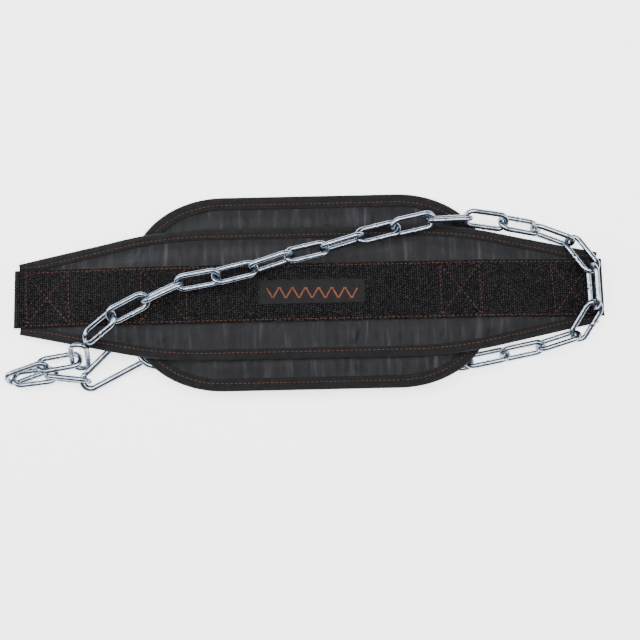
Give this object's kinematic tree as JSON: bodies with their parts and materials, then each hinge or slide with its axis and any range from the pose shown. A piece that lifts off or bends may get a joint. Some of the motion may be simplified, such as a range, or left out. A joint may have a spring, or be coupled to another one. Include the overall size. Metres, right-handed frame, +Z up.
{
  "type": "dip belt with chain",
  "caption": "Padded fabric dip belt with a wide back pad, a webbing strap folded round both tips, a long welded steel chain running beneath it and round one tip, and spring snap clips.",
  "frame": {"origin": "middle of the whole object's outline on the floor it lies on", "axes": "+X along the belt towards the tip that the chain runs round, +Y towards the belt's upper edge in the picture, +Z up from the floor"},
  "size_m": [0.5664, 0.1834, 0.0614],
  "materials": {
    "nylon": "satin coated nylon",
    "binding_tape": "matt woven tape",
    "webbing": "matt ribbed webbing",
    "label": "matt woven patch",
    "zinc_plated_steel": "bright zinc plating"
  },
  "bodies": {
    "belt_and_chain": {"back_pad": "nylon", "back_pad_binding": "binding_tape", "belt_pad": "nylon", "belt_binding_lower": "binding_tape", "belt_binding_upper": "binding_tape", "webbing_strap": "webbing", "label_patch": "label", "chain_link_01": "zinc_plated_steel", "chain_link_02": "zinc_plated_steel", "chain_link_03": "zinc_plated_steel", "chain_link_04": "zinc_plated_steel", "chain_link_05": "zinc_plated_steel", "chain_link_06": "zinc_plated_steel", "chain_link_07": "zinc_plated_steel", "chain_link_08": "zinc_plated_steel", "chain_link_09": "zinc_plated_steel", "chain_link_10": "zinc_plated_steel", "chain_link_11": "zinc_plated_steel", "chain_link_12": "zinc_plated_steel", "chain_link_13": "zinc_plated_steel", "chain_link_14": "zinc_plated_steel", "chain_link_15": "zinc_plated_steel", "chain_link_16": "zinc_plated_steel", "chain_link_17": "zinc_plated_steel", "chain_link_18": "zinc_plated_steel", "chain_link_19": "zinc_plated_steel", "chain_link_20": "zinc_plated_steel", "chain_link_21": "zinc_plated_steel", "chain_link_22": "zinc_plated_steel", "chain_link_23": "zinc_plated_steel", "chain_link_24": "zinc_plated_steel", "chain_link_25": "zinc_plated_steel", "chain_link_26": "zinc_plated_steel", "chain_link_27": "zinc_plated_steel", "chain_link_28": "zinc_plated_steel", "chain_link_29": "zinc_plated_steel", "chain_link_30": "zinc_plated_steel", "chain_link_31": "zinc_plated_steel", "chain_link_32": "zinc_plated_steel", "clip_1_body": "zinc_plated_steel", "clip_2_body": "zinc_plated_steel"},
    "gate_1": {"clip_1_gate": "zinc_plated_steel"},
    "gate_2": {"clip_2_gate": "zinc_plated_steel"}
  },
  "joints": [
    {"name": "clip_1_gate_hinge", "type": "hinge", "parent": "belt_and_chain", "child": "gate_1", "pos_m": [-0.20381, -0.06962, 0.01168], "axis": [-0.1555, 0.2685, -0.9506], "range_deg": [0, 26], "stiffness_Nm_per_rad": 0.3, "springref_deg": -17.19},
    {"name": "clip_2_gate_hinge", "type": "hinge", "parent": "belt_and_chain", "child": "gate_2", "pos_m": [-0.09398, -0.05918, 0.00724], "axis": [0.0696, 0.3203, 0.9448], "range_deg": [0, 26], "stiffness_Nm_per_rad": 0.3, "springref_deg": -17.19}
  ]
}
